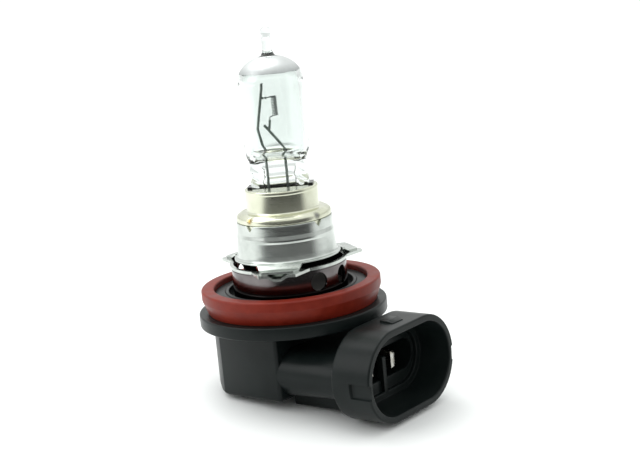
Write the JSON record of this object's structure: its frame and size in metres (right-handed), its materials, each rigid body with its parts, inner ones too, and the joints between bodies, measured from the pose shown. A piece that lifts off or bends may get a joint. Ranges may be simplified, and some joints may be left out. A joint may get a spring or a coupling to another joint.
{
  "type": "headlight bulb",
  "caption": "Right-angle halogen headlight bulb: glass capsule in a metal cup and sleeve, lug ring, locating collar, red seal ring and black plastic base with a side connector.",
  "frame": {"origin": "on the bulb axis, in the underside plane of the three locating lugs, which is the plane the bulb is seated and focused by", "axes": "+Z along the bulb axis towards the glass tip, +X out of the connector's mouth, +Y across the connector"},
  "size_m": [0.0383, 0.0308, 0.0614],
  "materials": {
    "clear_glass": "clear, faint green-grey tint",
    "coating": "matt silver-white reflective coating",
    "tungsten": "matt grey wound wire",
    "molybdenum": "satin dark grey drawn wire",
    "nickel_wire": "satin drawn wire",
    "spring_steel": "bright rolled strip",
    "warm_nickel": "satin nickel plate with a warm tone",
    "bright_steel": "bright drawn stainless sheet",
    "dark_steel": "polished stainless that mirrors its dark surroundings",
    "ceramic": "matt dark moulded insulator",
    "black_plastic": "satin glass-filled moulding",
    "silicone": "satin brick-red silicone",
    "blade_brass": "tin-plated brass"
  },
  "bodies": {
    "root": {"glass_envelope": "clear_glass", "top_coating": "coating", "filament": "tungsten", "leg_sleeves": "molybdenum", "long_lead": "molybdenum", "short_lead": "molybdenum", "long_foil": "molybdenum", "short_foil": "molybdenum", "long_tail": "nickel_wire", "short_tail": "nickel_wire", "press_clip": "spring_steel", "capsule_cup": "warm_nickel", "focus_sleeve": "bright_steel", "lug_ring": "bright_steel", "base_collar": "dark_steel", "insulator": "ceramic", "base_housing": "black_plastic", "bottom_cover": "black_plastic", "seal_ring": "silicone", "left_terminal": "blade_brass", "right_terminal": "blade_brass"}
  },
  "joints": []
}
